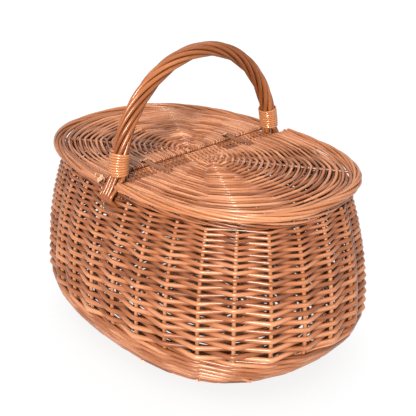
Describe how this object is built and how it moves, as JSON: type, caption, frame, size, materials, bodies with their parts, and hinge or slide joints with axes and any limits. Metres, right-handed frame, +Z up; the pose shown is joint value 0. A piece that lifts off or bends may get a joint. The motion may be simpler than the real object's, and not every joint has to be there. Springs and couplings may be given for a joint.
{
  "type": "lidded picnic basket",
  "caption": "Oval woven willow picnic basket with a bulging body, a fixed rope-twist cross handle over a woven crossbar, and two woven lids hinged on straps at the crossbar.",
  "frame": {"origin": "on the table, under the middle of the basket", "axes": "+Z up; X along the basket's length, from lid to lid; Y along the crossbar, from one foot of the handle to the other"},
  "size_m": [0.4962, 0.3613, 0.3923],
  "materials": {
    "weave_willow": "satin",
    "rod_willow": "satin",
    "handle_willow": "satin",
    "binding_skein": "glossy",
    "strap_skein": "satin"
  },
  "bodies": {
    "basket": {"base_weave": "weave_willow", "base_long_stick_1": "rod_willow", "base_long_stick_2": "rod_willow", "base_cross_stick_1": "rod_willow", "base_cross_stick_2": "rod_willow", "base_cross_stick_3": "rod_willow", "foot_rows": "weave_willow", "side_weave": "weave_willow", "stake_01": "rod_willow", "stake_02": "rod_willow", "stake_03": "rod_willow", "stake_04": "rod_willow", "stake_05": "rod_willow", "stake_06": "rod_willow", "stake_07": "rod_willow", "stake_08": "rod_willow", "stake_09": "rod_willow", "stake_10": "rod_willow", "stake_11": "rod_willow", "stake_12": "rod_willow", "stake_13": "rod_willow", "stake_14": "rod_willow", "stake_15": "rod_willow", "stake_16": "rod_willow", "stake_17": "rod_willow", "stake_18": "rod_willow", "stake_19": "rod_willow", "stake_20": "rod_willow", "stake_21": "rod_willow", "stake_22": "rod_willow", "stake_23": "rod_willow", "stake_24": "rod_willow", "stake_25": "rod_willow", "stake_26": "rod_willow", "stake_27": "rod_willow", "stake_28": "rod_willow", "stake_29": "rod_willow", "stake_30": "rod_willow", "rim_border": "weave_willow", "crossbar_stick_left": "rod_willow", "crossbar_stick_right": "rod_willow", "crossbar_weave": "weave_willow", "hinge_strap_near": "strap_skein", "hinge_strap_far": "strap_skein", "handle_core": "handle_willow", "handle_strand_01": "handle_willow", "handle_strand_02": "handle_willow", "handle_strand_03": "handle_willow", "handle_strand_04": "handle_willow", "handle_strand_05": "handle_willow", "handle_strand_06": "handle_willow", "handle_strand_07": "handle_willow", "binding_near": "binding_skein", "binding_far": "binding_skein"},
    "lid_left": {"lid_border_left": "rod_willow", "lid_sticks_left": "rod_willow", "lid_weave_left": "weave_willow"},
    "lid_right": {"lid_border_right": "rod_willow", "lid_sticks_right": "rod_willow", "lid_weave_right": "weave_willow"}
  },
  "joints": [
    {"name": "lid_left_hinge", "type": "hinge", "parent": "basket", "child": "lid_left", "pos_m": [-0.0204, 0, 0.2408], "axis": [0, 1, 0], "range_deg": [0, 92]},
    {"name": "lid_right_hinge", "type": "hinge", "parent": "basket", "child": "lid_right", "pos_m": [0.0204, 0, 0.2408], "axis": [0, -1, 0], "range_deg": [0, 92]}
  ]
}
